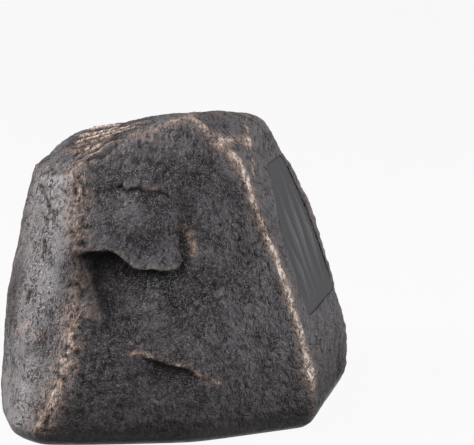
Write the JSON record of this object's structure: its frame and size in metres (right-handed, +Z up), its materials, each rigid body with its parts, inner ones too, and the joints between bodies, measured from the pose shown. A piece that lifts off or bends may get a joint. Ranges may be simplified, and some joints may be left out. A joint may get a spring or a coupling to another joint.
{
  "type": "rock shaped garden speaker",
  "caption": "Hollow moulded rock with weathered facets and a flat foot, and a woofer and tweeter behind a folded grille panel on one side, for music outdoors.",
  "frame": {"origin": "on the ground, under the middle of the rock's bounding box", "axes": "+Z up, +X the way the grille looks and the sound leaves, and -Y the broad weathered face"},
  "size_m": [0.3373, 0.3459, 0.3392],
  "materials": {
    "moulded_rock": "matt charcoal with a bronze dry brush on the ridges",
    "black_abs": "matt, lightly grained",
    "foam_rubber": "matt closed-cell foam",
    "stainless_steel": "bright",
    "black_nylon": "satin",
    "seal_rubber": "satin",
    "painted_steel": "satin dark grey",
    "black_cloth": "fine open weave",
    "black_steel": "satin black",
    "black_screws": "black zinc",
    "plated_steel": "zinc plated",
    "ferrite": "ground",
    "aluminium_foil": "bright",
    "copper": "enamelled",
    "polypropylene": "satin",
    "cotton_cloth": "resin dipped",
    "phenolic_board": "matt brown",
    "capacitor_film": "gloss",
    "cement": "matt ceramic"
  },
  "bodies": {
    "cabinet": {"rock_shell": "moulded_rock", "base_plate": "black_abs", "base_gasket": "foam_rubber", "base_screws": "stainless_steel", "cable_gland": "black_nylon", "gland_locknut": "black_nylon", "gland_seal": "seal_rubber", "gland_cap": "black_nylon", "speaker_baffle": "black_abs", "baffle_gasket": "foam_rubber", "baffle_screws": "stainless_steel", "front_grille": "painted_steel", "grille_scrim": "black_cloth", "woofer_basket": "black_steel", "woofer_gasket": "foam_rubber", "woofer_screws": "black_screws", "woofer_top_plate": "plated_steel", "woofer_magnet": "ferrite", "woofer_yoke": "plated_steel", "woofer_surround": "seal_rubber", "woofer_spider": "cotton_cloth", "woofer_terminals": "phenolic_board", "tweeter_faceplate": "black_abs", "tweeter_gasket": "foam_rubber", "tweeter_screws": "black_screws", "tweeter_dome": "black_cloth", "tweeter_voice_coil": "copper", "tweeter_pot": "plated_steel", "tweeter_magnet": "ferrite", "tweeter_pole": "plated_steel", "crossover_board": "phenolic_board", "board_screws": "stainless_steel", "woofer_inductor": "copper", "tweeter_inductor": "copper", "film_capacitors": "capacitor_film", "cement_resistor": "cement", "terminal_strip": "black_nylon"},
    "cone_assembly": {"woofer_cone": "polypropylene", "woofer_dust_cap": "polypropylene", "voice_coil_former": "aluminium_foil", "voice_coil_winding": "copper"}
  },
  "joints": [
    {"name": "cone_excursion", "type": "slide", "parent": "cabinet", "child": "cone_assembly", "axis": [0.9397, 0, 0.342], "range_m": [-0.004, 0.004], "stiffness_N_per_m": 1250, "deforming": ["woofer_surround", "woofer_spider"]}
  ]
}
